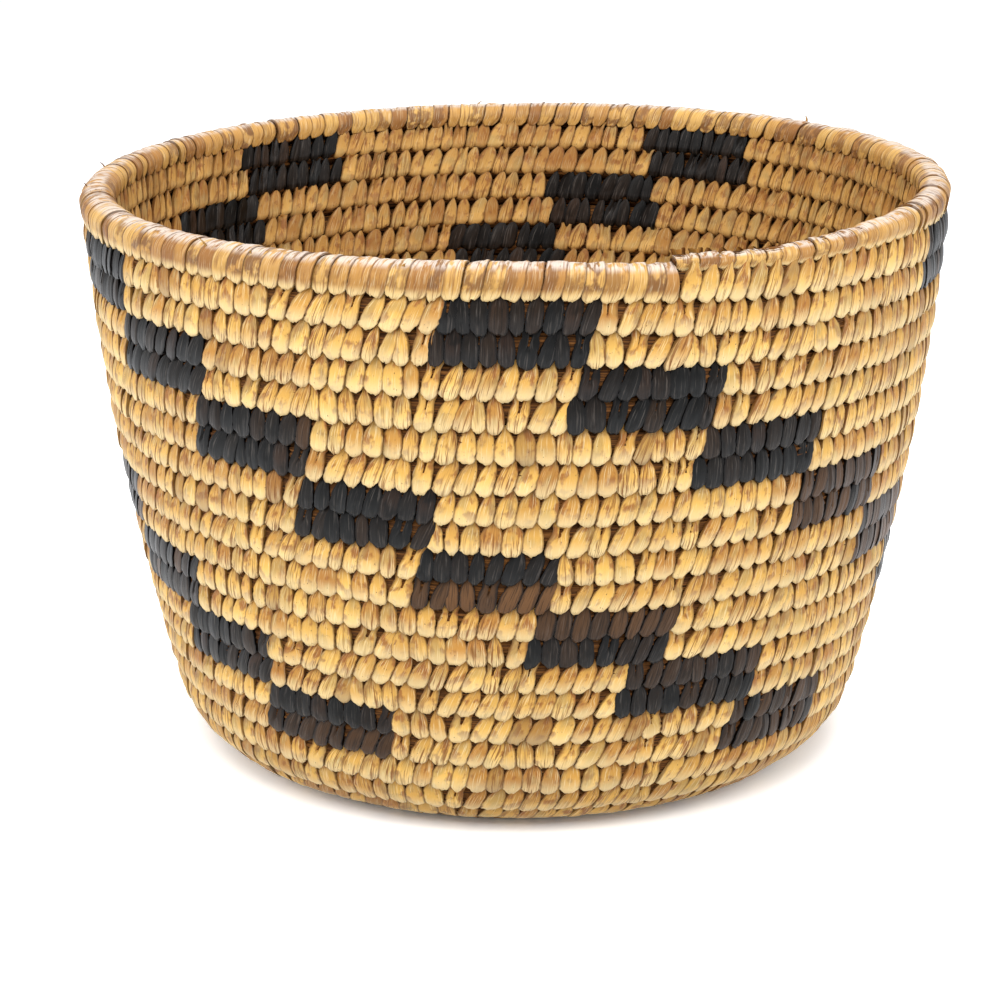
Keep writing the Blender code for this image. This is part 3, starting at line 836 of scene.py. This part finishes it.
def bend_wraps(strip, stitches):
    """Places of every corner of the rim's wraps."""
    ends, widths = (np.array(values)[:, None] for values in list(zip(*stitches))[:2])
    side, length = strip.side, strip.length
    each = (len(ends), 1)
    columns = (len(ends), strip.column.max() + 1)
    uneven_outline = 1 + rough.normal(0.0, WRAP_OUTLINE_SPREAD, (len(ends), side.size))
    half = np.interp(length, *WRAP_OUTLINE) * widths * uneven_outline
    lean = (LEAN + rough.normal(0.0, WRAP_LEAN_SPREAD, each)) * np.minimum(length / 0.5, 1)
    centre = ends + widths * (lean + np.maximum(length - 0.5, 0))
    turn = np.clip(centre + side * half, 0.0, 1.0)
    upper, lower = row_edges(np.clip(centre, 0.0, 1.0))
    path_down, path_out = wrap_path(length)
    tilt = rough.normal(0.0, WRAP_TILT_SPREAD, each) * side
    curl = rough.normal(0.0, WRAP_CURL_SPREAD, each) * (side**2 - CURL_LEVEL)
    lift = rough.normal(0.0, WRAP_LIFT_SPREAD, each)
    ridges = rough.normal(0.0, WRAP_RIDGE_SPREAD, columns)[:, strip.column]
    depth = WRAP_EDGE_FOLD * strip.side_fold + WRAP_CROWN * side**4 + WRAP_END_FOLD * strip.end_fold
    depth = depth - lift - tilt - curl - ridges
    middle = (upper + lower) / 2
    tall = (lower - upper) / 2
    ragged = rough.normal(0.0, WRAP_RAGGED_SPREAD, columns)[:, strip.column] * (length < 0.01)
    uneven = rough.normal(0.0, WRAP_END_SPREAD, each) * side - WRAP_CORNER_CUT * side**2
    uneven = uneven * np.clip(1 - length / WRAP_END_SHARE, 0, 1)
    down = middle + path_down * tall - np.minimum(path_down, 0) * depth + ragged + uneven
    out = path_out * (half_wall(np.maximum(centre, 0.0), middle, True) - depth)
    return on_bowl(turn, down, out)


def rim_splint_material():
    """The same leaf strips on the rim: bright ends, brown stains above them and a grey, rubbed crest."""
    material, shader = new_material("worn_rim_splint")
    tone, grain, fall, edge = (
        add_node(material, "ShaderNodeAttribute", {"attribute_name": name}).outputs["Fac"]
        for name in ("tone", "grain", "fall", "edge")
    )
    place = add_node(material, "ShaderNodeTexCoord").outputs["UV"]
    fibre = stretched_noise(material, place, 3.2, 0.15, 2.0)  # 0.3 mm wide and 7 mm long
    streak = stretched_noise(material, place, 1.4, 0.08, 2.0)  # 0.7 mm by 12 mm
    stain = stretched_noise(material, place, 0.35, 0.22, 3.0)  # 3 mm by 5 mm
    rubbed = stretched_noise(material, place, 0.8, 0.3, 3.0)  # 1.3 mm by 3 mm
    stops = ((0.0, "8E5E2A"), (0.15, "A8763A"), (0.45, "C0904A"), (0.8, "D0A45A"), (1.0, "BA8C4C"))
    colour = add_node(material, "ShaderNodeValToRGB", stops=stops, Fac=tone)
    colour = lay_colours(
        material,
        colour.outputs["Color"],
        ("F6DA9E", (fall, 0.2, 0.04, 0.75)),  # bright end
        ("6E4622", (fall, 0.1, 0.22, 1.0), (grain, 0.2, 0.9, 0.9), (stain, 0.4, 0.55, 1.0)),  # hand stains
        ("D2C4B8", (fall, 0.36, 0.44, 1.0), (fall, 0.62, 0.54, 1.0), (rubbed, 0.38, 0.52, 0.85)),  # crest
        ("7A4B22", (streak, 0.56, 0.68, 0.6)),  # broad brown fibres
        ("7C5027", (fibre, 0.54, 0.7, 0.6)),  # fine brown fibres
        ("F2E2BC", (fibre, 0.46, 0.3, 0.3)),  # pale fibres
        ("4E2E10", (edge, 0.4, 1.0, 0.65)),  # darker seams: dirt, and painted shade between the wraps
    )
    return finish_splint(material, shader, colour, fibre, 0.6, 0.5, 0.3)


# The first wrap closes the coil's end, part of a width before the first stitch
CLOSING_WRAP = -0.4
rim = [stitch for stitch in STITCHES if stitch[0] < 1]
rim.insert(0, (CLOSING_WRAP * rim[0][1], rim[0][1], None))
places = bend_wraps(WRAP_STRIP, rim)
tones = rough.random(len(places))
RIM_SPLINT = rim_splint_material()
sew("rim_stitches", WRAP_STRIP, places, tones, np.zeros(len(rim)), RIM_SPLINT, "straw_coil", "wall_coil")

# Loose ends.
# Where one splint ran out and the next was let in, a thin end was cut off short and curls up at the rim.
# For each: angle from the front, length and sideways curl.
LOOSE_ENDS = (
    (-84.0, 0.0030, 0.9), (-40.0, 0.0042, -0.5), (-33.0, 0.0026, 0.7), (-13.0, 0.0024, 0.4),
    (24.0, 0.0034, 0.8), (63.0, 0.0030, -0.6), (131.0, 0.0038, 0.5), (186.0, 0.0030, -0.8),
    (262.0, 0.0034, 0.6),
)
LOOSE_HALF = 0.00055
LOOSE_TAPER = 0.8
LOOSE_FOLD = 0.0002
# Each starts this far below the crest and at this share of the half wall, then bows in and stands out
LOOSE_BELOW = 0.0014
LOOSE_OUT = 0.55
LOOSE_BOW = 0.3
LOOSE_RISE = 0.4
LOOSE_AGE = 0.2

loose_strip = make_strip("loose_end", 5, 8, ROW_HEIGHT_RIM)
angles, lengths, curls = (np.array(values)[:, None] for values in zip(*LOOSE_ENDS))
share = loose_strip.length
centre = (angles - END_ANGLE) / 360 % 1.0
upper, lower = row_edges(centre)
across = loose_strip.side * LOOSE_HALF * (1 - LOOSE_TAPER * share) + curls * lengths * share**2
turn = centre + across / (2 * np.pi * RIM_RADIUS)
down = upper + LOOSE_BELOW - lengths * share + LOOSE_BOW * lengths * share**3
out = half_wall(centre, upper, True) * LOOSE_OUT + LOOSE_RISE * lengths * share
out = out - LOOSE_FOLD * loose_strip.side_fold
places = on_bowl(turn, down, out)
tones = rough.random(len(places))
ages = tones * LOOSE_AGE
sew("loose_splint_ends", loose_strip, places, tones, ages, LIGHT_SPLINT, "straw_coil", "wall_coil")

# Start knot.
# The bundle starts as a small knot, sewn over until it is a hard button in the middle of the base.
# Its splints go round it through its middle, like the petals of a flower, over a core of grass.
KNOT_SPLINTS = 11
KNOT_CORE = (1.38, 1.38, 0.6)
KNOT_HALF = 0.49
KNOT_FALL = (0.04, 0.96)
KNOT_PLACE_SPREAD = 0.05
KNOT_PROUD_SPREAD = 0.02
KNOT_CROWN = 0.05
KNOT_EDGE_FOLD = 0.16
KNOT_END_FOLD = 0.1
KNOT_AGE = (0.2, 0.1)

knot_low, knot_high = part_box("start_knot")
knot_middle = np.array(knot_low + knot_high) / 2
knot_reach = np.array(knot_high - knot_low) / 2
shape = bmesh.new()
bmesh.ops.create_uvsphere(shape, u_segments=24, v_segments=12, radius=1.0)
bmesh.ops.scale(shape, vec=knot_reach * KNOT_CORE, verts=shape.verts)
bmesh.ops.translate(shape, vec=knot_middle, verts=shape.verts)
add_piece("start_knot_core", shape, STEMS, "knot_straw", "start_knot")
side = WRAP_STRIP.side
place = np.arange(KNOT_SPLINTS)[:, None] + KNOT_HALF * side
around = 2 * np.pi * (place + rough.normal(0.0, KNOT_PLACE_SPREAD, (KNOT_SPLINTS, 1))) / KNOT_SPLINTS
fall = np.pi * (KNOT_FALL[0] + (KNOT_FALL[1] - KNOT_FALL[0]) * WRAP_STRIP.length)
proud = 1 + rough.normal(0.0, KNOT_PROUD_SPREAD, (KNOT_SPLINTS, 1)) - KNOT_CROWN * side**2
proud = proud - KNOT_EDGE_FOLD * WRAP_STRIP.side_fold - KNOT_END_FOLD * WRAP_STRIP.end_fold
petals = (np.sin(fall) * np.cos(around), np.sin(fall) * np.sin(around), np.cos(fall) + 0 * around)
places = knot_middle + knot_reach * np.stack(petals, -1) * proud[..., None]
places[..., 2] = np.maximum(places[..., 2], LEAST_HEIGHT)
tones = rough.random(KNOT_SPLINTS)
ages = KNOT_AGE[0] + KNOT_AGE[1] * tones
sew("start_knot_stitches", WRAP_STRIP, places, tones, ages, LIGHT_SPLINT, "knot_straw", "start_knot")

# Ground and backdrop.
# A plain pale ground of matt white paper, which shows white and takes only the basket's soft shadow.
# It has no edge that the camera sees, and the basket only stands on it.
GROUND_HALF = 6.0
GROUND_GAIN = 1.5
GROUND_TINT = (0.98, 1.0, 1.03)


def seen_directly(material):
    """1 where the camera sees a thing, straight, in a gloss or through glass, and 0 where it only lights."""
    path = add_node(material, "ShaderNodeLightPath")
    rays = path.outputs["Is Camera Ray"]
    for kind in ("Is Glossy Ray", "Is Transmission Ray"):
        settings = {"operation": "ADD", "use_clamp": True}
        rays = add_node(material, "ShaderNodeMath", settings, i0=rays, i1=path.outputs[kind]).outputs[0]
    return rays


def ground_material():
    """Matt white paper that the camera sees brighter than it is, so that only the shadow isn't white."""
    material, shader = new_material("white_paper")
    bright = [GROUND_GAIN * part for part in GROUND_TINT] + [1.0]
    seen = seen_directly(material)
    colour = add_node(material, "ShaderNodeMix", COLOUR_MIX, i0=seen, i6=linear("C8C8C8"), i7=bright)
    paper = add_node(material, "ShaderNodeBsdfDiffuse", Color=colour.outputs[2])
    output = material.node_tree.nodes["Material Output"]
    material.node_tree.links.new(paper.outputs["BSDF"], output.inputs["Surface"])
    material.node_tree.nodes.remove(shader)
    return material


shape = bmesh.new()
bmesh.ops.create_grid(shape, x_segments=1, y_segments=1, size=GROUND_HALF)
mesh = bpy.data.meshes.new("ground")
shape.to_mesh(mesh)
shape.free()
mesh.materials.append(ground_material())
ground = bpy.data.objects.new("ground", mesh)
bpy.context.scene.collection.objects.link(ground)

# Light.
# A wide, soft sky that shows white, one large lamp above and in front, and weaker ones at both sides
# and above. A colour renders about as it is written under them.
SKY_STRENGTH = 0.6
LAMPS = (
    ("key", (-0.1, -0.9, 1.1), 0.9, 13.0),
    ("left", (-1.1, -0.5, 0.6), 0.8, 6.0),
    ("right", (1.1, -0.5, 0.6), 0.8, 6.0),
    ("top", (0.1, 0.3, 1.3), 0.8, 6.0),
)
LAMP_TARGET = Vector((0.0, 0.0, 0.09))

world = bpy.data.worlds.new("studio")
bpy.context.scene.world = world
world.use_nodes = True
sky = world.node_tree.nodes["Background"]
sky.inputs["Color"].default_value = (1.0, 1.0, 1.0, 1.0)
seen = seen_directly(world)
strength = add_node(world, "ShaderNodeMix", {"data_type": "FLOAT"}, i0=seen, i2=SKY_STRENGTH, i3=1.0)
world.node_tree.links.new(strength.outputs[0], sky.inputs["Strength"])
for name, place, size, power in LAMPS:
    data = bpy.data.lights.new(name, "AREA")
    data.size = size
    data.energy = power
    lamp = bpy.data.objects.new(name, data)
    lamp.location = place
    lamp.rotation_euler = (LAMP_TARGET - Vector(place)).to_track_quat("-Z", "Y").to_euler()
    bpy.context.scene.collection.objects.link(lamp)

# Camera.
# About 0.8 m away and 17 degrees above level, as the photograph was taken.
CAMERA_PLACE = (0.0, -0.7590, 0.3095)
CAMERA_TILT = 17.33
LENS = 93.33
SENSOR = 36.0
SHIFT = -0.0157
camera_data = bpy.data.cameras.new("camera")
camera_data.lens = LENS
camera_data.sensor_width = SENSOR
camera_data.shift_x = SHIFT
camera = bpy.data.objects.new("camera", camera_data)
camera.location = CAMERA_PLACE
camera.rotation_euler = (math.radians(90 - CAMERA_TILT), 0, 0)
bpy.context.scene.collection.objects.link(camera)
bpy.context.scene.camera = camera
bpy.context.scene.view_settings.view_transform = "Standard"
